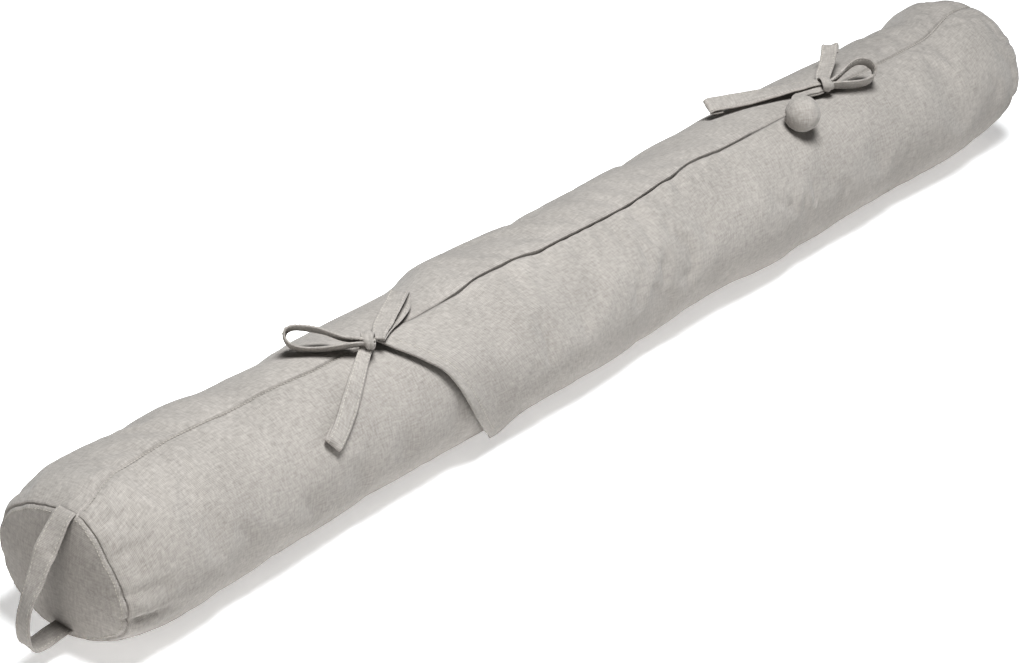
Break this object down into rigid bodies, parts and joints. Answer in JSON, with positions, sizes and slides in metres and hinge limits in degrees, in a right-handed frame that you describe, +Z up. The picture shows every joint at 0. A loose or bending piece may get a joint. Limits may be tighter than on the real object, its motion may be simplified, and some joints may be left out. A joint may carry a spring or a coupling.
{
  "type": "draught excluder",
  "caption": "Filled linen draught excluder: a long soft tube with round end panels, a loose closing panel over its opening tied shut with bows, and a carry loop at one end.",
  "frame": {"origin": "middle of the flat spot on the underside that the tube rests on", "axes": "+X along the tube away from the carry loop, +Z up, -Y towards the side that the closing panel covers"},
  "size_m": [0.9438, 0.1179, 0.118],
  "materials": {
    "linen_cover": "plain-weave greige linen, slubby, matt",
    "linen_tie": "the same linen, folded and stitched into flat straps"
  },
  "bodies": {
    "root": {"filled_tube": "linen_cover", "end_panel_near": "linen_cover", "end_panel_far": "linen_cover", "closing_panel": "linen_cover", "near_tie_over": "linen_tie", "near_tie_under": "linen_tie", "far_tie_over": "linen_tie", "far_tie_under": "linen_tie", "carry_loop": "linen_tie"}
  },
  "joints": []
}
